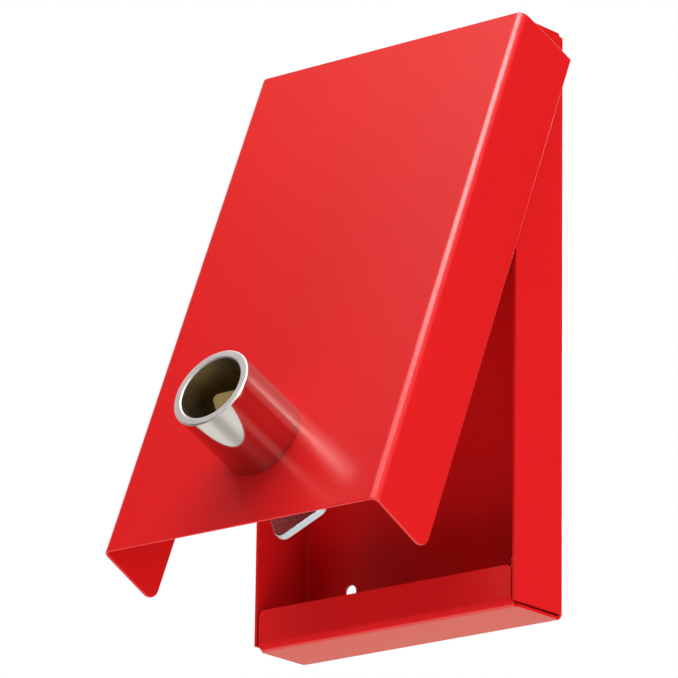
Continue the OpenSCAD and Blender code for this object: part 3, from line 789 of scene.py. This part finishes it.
class OBJECT_OT_key_box_stage(bpy.types.Operator):
    """Make the camera, the pale floor, the lamps and the room's light"""
    bl_idname = "object.key_box_stage"
    bl_label = "Stage"

    def execute(self, context):
        scene = context.scene
        stage = scene.key_box_stage
        self.make_camera(scene, stage)
        self.make_room(scene, stage)
        self.make_floor(stage)
        for name, place, width, height, power in LAMPS:
            self.make_lamp(name, place, width, height, getattr(stage, power))
        for card in CARDS:
            self.make_card(*card)
        scene.view_settings.view_transform = "Standard"
        return {"FINISHED"}

    def make_camera(self, scene, stage):
        back = Vector((math.sin(stage.azimuth) * math.cos(stage.elevation),
                       -math.cos(stage.azimuth) * math.cos(stage.elevation),
                       math.sin(stage.elevation)))
        right = (-back).cross(Vector((0, 0, 1))).normalized()
        up = right.cross(-back)
        turn = Matrix.Rotation(stage.roll, 3, back)
        right, up = turn @ right, turn @ up
        place = Vector(AIM) - SHIFT_RIGHT * right - SHIFT_UP * up + stage.distance * back
        data = bpy.data.cameras.new("camera")
        data.lens = stage.lens
        data.sensor_width = 36
        data.clip_end = 100
        camera = bpy.data.objects.new("camera", data)
        camera.matrix_world = Matrix.Translation(place) @ Matrix((right, up, back)).transposed().to_4x4()
        scene.collection.objects.link(camera)
        scene.camera = camera

    def make_room(self, scene, stage):
        """White to the camera and in reflections, grey as a source of light."""
        world = bpy.data.worlds.new("room")
        scene.world = world
        world.use_nodes = True
        tree = world.node_tree
        tree.nodes.clear()
        seen = seen_directly(tree)
        grey = add_node(tree, "ShaderNodeBackground",
                        {"Color": (1, 1, 1, 1), "Strength": stage.ambient})
        white = add_node(tree, "ShaderNodeBackground", {"Color": (1, 1, 1, 1), "Strength": 1.0})
        mixed = add_node(tree, "ShaderNodeMixShader",
                         {0: seen.outputs["Value"], 1: grey.outputs["Background"],
                          2: white.outputs["Background"]})
        add_node(tree, "ShaderNodeOutputWorld", {"Surface": mixed.outputs["Shader"]})

    def make_floor(self, stage):
        """A wide pale disc; away from the object it turns into the white background."""
        bm = bmesh.new()
        bmesh.ops.create_circle(bm, cap_ends=True, segments=FLOOR_FACETS, radius=FLOOR_RADIUS)
        mesh = bpy.data.meshes.new("floor")
        bm.to_mesh(mesh)
        bm.free()
        mesh.transform(Matrix.Translation((0, 0, -stage.floor_depth)))
        material = bpy.data.materials.new("pale_floor")
        material.use_nodes = True
        tree = material.node_tree
        tree.nodes.clear()
        coords = add_node(tree, "ShaderNodeTexCoord").outputs["Object"]
        flat = add_node(tree, "ShaderNodeVectorMath", {0: coords, 1: (1, 1, 0)}, operation="MULTIPLY")
        away = add_node(tree, "ShaderNodeVectorMath", {0: flat.outputs["Vector"]}, operation="LENGTH")
        fade = add_node(tree, "ShaderNodeMapRange",
                        {"Value": away.outputs["Value"],
                         "From Min": FLOOR_FADE[0], "From Max": FLOOR_FADE[1]},
                        interpolation_type="SMOOTHSTEP")
        seen = seen_directly(tree)
        share = add_node(tree, "ShaderNodeMath",
                         {0: fade.outputs["Result"], 1: seen.outputs["Value"]}, operation="MULTIPLY")
        pale = add_node(tree, "ShaderNodeBsdfDiffuse", {"Color": linear("#F4F4F3")})
        white = add_node(tree, "ShaderNodeEmission", {"Color": (1, 1, 1, 1), "Strength": 1.0})
        mixed = add_node(tree, "ShaderNodeMixShader",
                         {0: share.outputs["Value"], 1: pale.outputs["BSDF"],
                          2: white.outputs["Emission"]})
        add_node(tree, "ShaderNodeOutputMaterial", {"Surface": mixed.outputs["Shader"]})
        link_object("floor", mesh, [material])

    def make_lamp(self, name, place, width, height, power):
        """A rectangular soft lamp aimed at the middle of the box."""
        data = bpy.data.lights.new(name, "AREA")
        data.shape = "RECTANGLE"
        data.size = width
        data.size_y = height
        data.energy = power
        lamp = bpy.data.objects.new(name, data)
        place = Vector(place)
        lamp.matrix_world = Matrix.Translation(place) @ place.to_track_quat("Z", "Y").to_matrix().to_4x4()
        bpy.context.scene.collection.objects.link(lamp)

    def make_card(self, name, direction, distance, size, fade, colours):
        """A card that only reflections see; between two heights its lower colour fades to its upper."""
        direction = Vector(direction).normalized()
        bm = bmesh.new()
        bmesh.ops.create_grid(bm, x_segments=1, y_segments=1, size=size)
        mesh = bpy.data.meshes.new(name)
        bm.to_mesh(mesh)
        bm.free()
        place = (Matrix.Translation(direction * distance)
                 @ direction.to_track_quat("Z", "Y").to_matrix().to_4x4())
        mesh.transform(place)
        material = bpy.data.materials.new(name)
        material.use_nodes = True
        tree = material.node_tree
        tree.nodes.clear()
        coords = add_node(tree, "ShaderNodeTexCoord").outputs["Object"]
        on_card = add_node(tree, "ShaderNodeMapping",
                           {"Vector": coords, "Location": place.to_translation(),
                            "Rotation": place.to_euler()}, vector_type="TEXTURE")
        height = add_node(tree, "ShaderNodeSeparateXYZ", {"Vector": on_card.outputs["Vector"]})
        share = add_node(tree, "ShaderNodeMapRange",
                         {"Value": height.outputs["Y"], "From Min": fade[0], "From Max": fade[1]},
                         interpolation_type="SMOOTHSTEP")
        tone = add_node(tree, "ShaderNodeMix",
                        {0: share.outputs["Result"], 6: linear(colours[0]), 7: linear(colours[1])},
                        data_type="RGBA")
        glow = add_node(tree, "ShaderNodeEmission", {"Color": tone.outputs[2], "Strength": 1.0})
        add_node(tree, "ShaderNodeOutputMaterial", {"Surface": glow.outputs["Emission"]})
        card = link_object(name, mesh, [material])
        for ray in ("camera", "diffuse", "transmission", "volume_scatter", "shadow"):
            setattr(card, "visible_" + ray, False)


class VIEW3D_PT_key_box(bpy.types.Panel):
    """Settings and steps of the key box"""
    bl_label = "Key box"
    bl_space_type = "VIEW_3D"
    bl_region_type = "UI"
    bl_category = "Key box"

    def draw(self, context):
        for group in SETTINGS:
            box = self.layout.box()
            box.label(text=SETTINGS[group].__doc__)
            for key in SETTINGS[group].__annotations__:
                box.prop(getattr(context.scene, group), key)
        for operator in OPERATORS:
            self.layout.operator(operator.bl_idname)


SETTINGS = {
    "key_box_sheet": KEYBOX_sheet,
    "key_box_hardware": KEYBOX_hardware,
    "key_box_tube": KEYBOX_guard_tube,
    "key_box_stage": KEYBOX_stage,
}
OPERATORS = (
    OBJECT_OT_key_box_stage,
    OBJECT_OT_key_box_box,
    OBJECT_OT_key_box_lid,
    OBJECT_OT_key_box_hinges,
    OBJECT_OT_key_box_hook,
    OBJECT_OT_key_box_tube,
    OBJECT_OT_key_box_lock,
    OBJECT_OT_key_box_spindle,
)


def register():
    for group, kind in SETTINGS.items():
        bpy.utils.register_class(kind)
        setattr(bpy.types.Scene, group, bpy.props.PointerProperty(type=kind))
    for kind in (*OPERATORS, VIEW3D_PT_key_box):
        bpy.utils.register_class(kind)


def unregister():
    for kind in reversed((*OPERATORS, VIEW3D_PT_key_box)):
        bpy.utils.unregister_class(kind)
    for group, kind in SETTINGS.items():
        delattr(bpy.types.Scene, group)
        bpy.utils.unregister_class(kind)


def main():
    register()
    bpy.ops.object.key_box_stage()
    bpy.ops.object.key_box_box()
    bpy.ops.object.key_box_lid()
    bpy.ops.object.key_box_hinges()
    bpy.ops.object.key_box_hook()
    bpy.ops.object.key_box_tube()
    bpy.ops.object.key_box_lock()
    bpy.ops.object.key_box_spindle()


if __name__ == "__main__":
    main()
